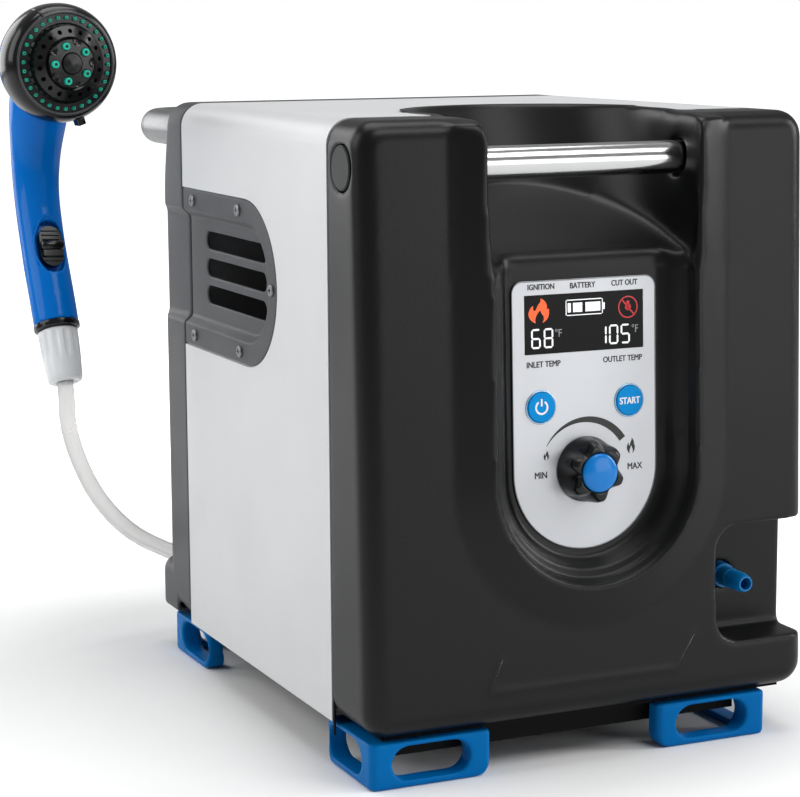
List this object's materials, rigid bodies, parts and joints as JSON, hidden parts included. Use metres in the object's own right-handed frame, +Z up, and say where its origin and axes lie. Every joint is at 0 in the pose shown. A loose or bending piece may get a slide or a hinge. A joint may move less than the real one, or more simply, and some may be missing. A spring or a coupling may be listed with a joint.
{
  "type": "portable propane water heater",
  "caption": "Portable gas water heater: steel wrap, black front cover with a bowl and bar, display, knob, buttons, side vent, blue feet, rear handle, and a hand shower on its hose",
  "frame": {"origin": "centre of the object's footprint box on the ground, the hose and its connector left out", "axes": "+X to the right seen from the front, +Y to the back, +Z up"},
  "size_m": [0.4148, 0.6008, 0.4693],
  "materials": {
    "black_plastic": "moulded black plastic with a fine grain",
    "grey_plastic": "moulded dark grey plastic",
    "case_steel": "silver coated steel sheet",
    "tube_steel": "brushed stainless tube",
    "pan_black": "black powder coat",
    "blue_plastic": "bright blue moulded plastic",
    "fascia": "silver printed plate",
    "display": "clear window over a dark display",
    "board": "green circuit board",
    "brass": "bare brass",
    "copper": "bare copper",
    "galvanised": "galvanised sheet",
    "zinc_screw": "bright zinc",
    "hand_blue": "glossy blue plastic",
    "hand_dark": "dark glossy plastic",
    "jet_green": "soft green jets",
    "pale_plastic": "white translucent plastic",
    "hose_white": "white flexible hose",
    "cell_wrap": "shrink sleeve",
    "pump_black": "black motor",
    "ceramic": "glazed ceramic"
  },
  "bodies": {
    "case": {"base_pan": "pan_black", "base_plate": "pan_black", "battery_pack": "cell_wrap", "burner": "galvanised", "burner_pipe": "copper", "charge_socket": "black_plastic", "cold_pipe": "copper", "combustion_chamber": "galvanised", "control_board": "board", "control_fascia": "fascia", "exhaust_hood": "galvanised", "fan_housing": "galvanised", "flow_sensor": "black_plastic", "foot_front_left": "blue_plastic", "foot_front_right": "blue_plastic", "foot_rear_left": "blue_plastic", "foot_rear_right": "blue_plastic", "front_cover": "black_plastic", "front_handle": "tube_steel", "gas_inlet": "brass", "gas_pipe": "copper", "gas_valve": "brass", "grip_ring": "hand_dark", "handle_bracket_left": "galvanised", "handle_bracket_right": "galvanised", "handle_cap_left": "black_plastic", "handle_cap_right": "black_plastic", "handset_body": "hand_blue", "heat_exchanger": "copper", "hose_coil": "hose_white", "hose_connector": "blue_plastic", "hose_down": "hose_white", "hose_nipple": "blue_plastic", "hose_up": "hose_white", "hot_pipe": "copper", "igniter": "ceramic", "lcd_module": "black_plastic", "lcd_window": "display", "rear_cover": "grey_plastic", "rear_handle": "tube_steel", "spray_face": "hand_dark", "spray_jets": "jet_green", "suction_pipe": "copper", "vent_frame": "galvanised", "vent_grille": "grey_plastic", "vent_screws": "zinc_screw", "water_inlet": "brass", "water_outlet": "brass", "water_pump": "pump_black", "wrap_panel": "case_steel"},
    "knob": {"control_knob": "black_plastic", "knob_cap": "blue_plastic"},
    "power_button": {"power_button": "blue_plastic"},
    "start_button": {"start_button": "blue_plastic"},
    "spray_dial": {"spray_dial": "hand_dark"},
    "flow_slide": {"flow_slide": "hand_dark"},
    "hose_nut": {"hose_nut": "pale_plastic"},
    "fan_rotor": {"fan_rotor": "black_plastic"}
  },
  "joints": [
    {"name": "knob_turn", "type": "hinge", "parent": "case", "child": "knob", "pos_m": [0.0531, -0.22128, 0.1835], "axis": [0, -0.9994, 0.0349], "range_deg": [-270, 0]},
    {"name": "power_press", "type": "slide", "parent": "case", "child": "power_button", "axis": [0, 0.9994, -0.0349], "range_m": [0, 0.0009], "stiffness_N_per_m": 900},
    {"name": "start_press", "type": "slide", "parent": "case", "child": "start_button", "axis": [0, 0.9994, -0.0349], "range_m": [0, 0.0009], "stiffness_N_per_m": 900},
    {"name": "dial_turn", "type": "hinge", "parent": "case", "child": "spray_dial", "pos_m": [-0.1635, 0.1568, 0.4273], "axis": [0.1045, -0.9945, 0], "range_deg": [-60, 60]},
    {"name": "flow_move", "type": "slide", "parent": "case", "child": "flow_slide", "axis": [-0.0057, 0.3923, 0.9198], "range_m": [-0.004, 0.004]},
    {"name": "nut_turn", "type": "hinge", "parent": "case", "child": "hose_nut", "pos_m": [-0.17214, 0.17047, 0.24094], "axis": [0.0093, -0.4213, -0.9069], "continuous": true},
    {"name": "fan_spin", "type": "hinge", "parent": "case", "child": "fan_rotor", "pos_m": [0.0431, 0.0118, 0.04], "axis": [0, 0, 1], "continuous": true}
  ]
}
